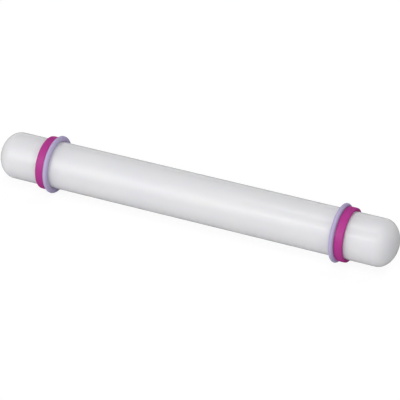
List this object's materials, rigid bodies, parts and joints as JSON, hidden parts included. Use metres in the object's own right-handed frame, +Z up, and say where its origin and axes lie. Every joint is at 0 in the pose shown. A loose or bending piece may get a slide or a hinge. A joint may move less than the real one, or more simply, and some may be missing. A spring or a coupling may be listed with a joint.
{
  "type": "adjustable rolling pin",
  "caption": "Small adjustable rolling pin: a one-piece white roller with domed ends, and slip-on thickness rings near each end that slide along it and come off.",
  "frame": {"origin": "middle of the roller, on its axis", "axes": "+X along the roller's axis towards its right end, +Z up, -Y towards the front of the picture"},
  "size_m": [0.2286, 0.0314, 0.0314],
  "materials": {
    "white_polyethylene": "moulded polyethylene, satin",
    "magenta_rubber": "moulded elastic rubber, matt",
    "lavender_rubber": "moulded elastic rubber, matt"
  },
  "bodies": {
    "roller": {"roller": "white_polyethylene"},
    "thick_ring_left": {"thick_guide_ring_left": "lavender_rubber"},
    "thin_band_left": {"thin_guide_band_left": "magenta_rubber"},
    "thick_ring_right": {"thick_guide_ring_right": "lavender_rubber"},
    "thin_band_right": {"thin_guide_band_right": "magenta_rubber"}
  },
  "joints": [
    {"name": "thick_ring_left_slide", "type": "slide", "parent": "roller", "child": "thick_ring_left", "axis": [-1, 0, 0], "range_m": [-0.075, 0.04]},
    {"name": "thin_band_left_slide", "type": "slide", "parent": "thick_ring_left", "child": "thin_band_left", "axis": [-1, 0, 0], "range_m": [0, 0.04]},
    {"name": "thick_ring_right_slide", "type": "slide", "parent": "roller", "child": "thick_ring_right", "axis": [1, 0, 0], "range_m": [-0.075, 0.04]},
    {"name": "thin_band_right_slide", "type": "slide", "parent": "thick_ring_right", "child": "thin_band_right", "axis": [1, 0, 0], "range_m": [0, 0.04]}
  ]
}
